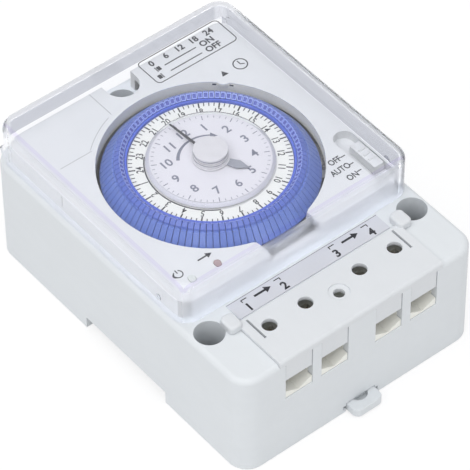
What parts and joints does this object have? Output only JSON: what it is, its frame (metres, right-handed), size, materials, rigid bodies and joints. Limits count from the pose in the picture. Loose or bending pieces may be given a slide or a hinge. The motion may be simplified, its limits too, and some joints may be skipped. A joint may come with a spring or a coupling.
{
  "type": "mechanical time switch",
  "caption": "Rail or wall mounted 24 hour time switch: grey case, clear hinged cover, blue tappet ring round a clock dial, mode slider and screw terminals under a clip-on lid.",
  "frame": {"origin": "middle of the rail channel's mouth, in the plane of the back feet", "axes": "+X along the terminal row, +Y from the terminals to the far end, +Z out of the dial"},
  "size_m": [0.084, 0.1174, 0.0512],
  "materials": {
    "case_grey": "fine moulded texture",
    "face_white": "smooth moulded",
    "clear_plastic": "polished clear",
    "label_film": "printed film",
    "terminal_ivory": "smooth moulded",
    "bright_steel": "zinc plated",
    "brass": "bright",
    "copper": "bright",
    "latch_white": "smooth moulded",
    "ring_blue": "smooth moulded",
    "tappet_blue": "smooth moulded",
    "gear_plastic": "smooth moulded",
    "dial_white": "printed",
    "clock_white": "printed",
    "hand_grey": "smooth moulded",
    "hand_dark": "smooth moulded",
    "knob_clear": "polished, cloudy",
    "motor_steel": "plain",
    "bracket_dark": "satin",
    "switch_black": "smooth moulded",
    "plunger_red": "smooth moulded",
    "board_green": "solder mask",
    "lamp_red": "diffused lens",
    "lamp_green": "diffused lens",
    "film_yellow": "smooth",
    "can_aluminium": "sleeved can",
    "resistor_coat": "coated",
    "wire_skin": "insulated"
  },
  "bodies": {
    "case": {"rear_case": "case_grey", "housing": "case_grey", "face_plate": "face_white", "terminal_cover": "face_white", "terminal_label": "label_film", "terminal_block": "terminal_ivory", "terminal_screws": "bright_steel", "wire_clamps": "brass", "terminal_bars": "copper", "case_screws": "bright_steel", "clock_face": "clock_white", "face_tube": "bright_steel", "motor_case": "motor_steel", "bottom_plate": "brass", "mid_plate": "brass", "top_plate": "brass", "plate_pillars": "bright_steel", "plate_screws": "bright_steel", "lever_pin": "bright_steel", "switch_bracket": "bracket_dark", "switch_case": "switch_black", "switch_contacts": "brass", "main_board": "board_green", "indicator_board": "board_green", "output_led": "lamp_red", "power_led": "lamp_green", "backup_cell": "motor_steel", "dropper_capacitor": "film_yellow", "smoothing_capacitor": "can_aluminium", "power_resistor": "resistor_coat", "lead_wires": "wire_skin"},
    "cover": {"clear_cover": "clear_plastic"},
    "latch": {"din_latch": "latch_white"},
    "dial": {"program_ring": "ring_blue", "dial_hub": "gear_plastic", "tappets": "tappet_blue", "day_dial": "dial_white"},
    "first_tappet": {"tappet_a": "tappet_blue"},
    "second_tappet": {"tappet_b": "tappet_blue"},
    "third_tappet": {"tappet_c": "tappet_blue"},
    "minute_train": {"minute_hand": "hand_dark", "setting_knob": "knob_clear", "minute_arbor": "bright_steel", "minute_wheel": "brass"},
    "hour_train": {"hour_hand": "hand_grey", "hour_wheel": "gear_plastic"},
    "motion": {"motion_wheel": "gear_plastic"},
    "idler": {"day_idler": "gear_plastic"},
    "motor_output": {"motor_pinion": "bright_steel"},
    "lever": {"trip_lever": "gear_plastic"},
    "plunger": {"switch_plunger": "plunger_red"},
    "slider": {"mode_slider": "latch_white"}
  },
  "joints": [
    {"name": "cover_hinge", "type": "hinge", "parent": "case", "child": "cover", "pos_m": [0, 0.0548, 0.0414], "axis": [-1, 0, 0], "range_deg": [0, 92]},
    {"name": "latch_slide", "type": "slide", "parent": "case", "child": "latch", "axis": [0, -1, 0], "range_m": [0, 0.003], "stiffness_N_per_m": 400},
    {"name": "dial_spin", "type": "hinge", "parent": "case", "child": "dial", "pos_m": [0, 0.0133, 0.043], "axis": [0, 0, -1], "continuous": true},
    {"name": "first_tappet_press", "type": "slide", "parent": "dial", "child": "first_tappet", "axis": [0, 0, -1], "range_m": [0, 0.0012]},
    {"name": "second_tappet_press", "type": "slide", "parent": "dial", "child": "second_tappet", "axis": [0, 0, -1], "range_m": [0, 0.0012]},
    {"name": "third_tappet_press", "type": "slide", "parent": "dial", "child": "third_tappet", "axis": [0, 0, -1], "range_m": [0, 0.0012]},
    {"name": "minute_spin", "type": "hinge", "parent": "case", "child": "minute_train", "pos_m": [0, 0.0133, 0.0463], "axis": [0, 0, -1], "continuous": true},
    {"name": "hour_spin", "type": "hinge", "parent": "case", "child": "hour_train", "pos_m": [0, 0.0133, 0.0455], "axis": [0, 0, -1], "continuous": true},
    {"name": "motion_spin", "type": "hinge", "parent": "case", "child": "motion", "pos_m": [-0.01, 0.0133, 0.0284], "axis": [0, 0, -1], "continuous": true},
    {"name": "idler_spin", "type": "hinge", "parent": "case", "child": "idler", "pos_m": [0, 0.02205, 0.0333], "axis": [0, 0, -1], "continuous": true},
    {"name": "motor_spin", "type": "hinge", "parent": "case", "child": "motor_output", "pos_m": [0.014, 0.0133, 0.0251], "axis": [0, 0, -1], "continuous": true},
    {"name": "lever_pivot", "type": "hinge", "parent": "case", "child": "lever", "pos_m": [0.0323, 0.03501, 0.0344], "axis": [0, -1, 0], "range_deg": [0, 4], "stiffness_Nm_per_rad": 0.02},
    {"name": "plunger_press", "type": "slide", "parent": "case", "child": "plunger", "axis": [0, 0, -1], "range_m": [0, 0.0006]},
    {"name": "mode_slide", "type": "slide", "parent": "case", "child": "slider", "axis": [0, 1, 0], "range_m": [-0.0035, 0.0035]}
  ],
  "couplings": [
    {"joint": "minute_spin", "follows": "dial_spin", "ratio": 24},
    {"joint": "hour_spin", "follows": "dial_spin", "ratio": 2},
    {"joint": "motion_spin", "follows": "dial_spin", "ratio": -8},
    {"joint": "idler_spin", "follows": "dial_spin", "ratio": -1.5},
    {"joint": "motor_spin", "follows": "dial_spin", "ratio": -144},
    {"joint": "plunger_press", "follows": "lever_pivot", "m_per_rad": 0.006355}
  ]
}
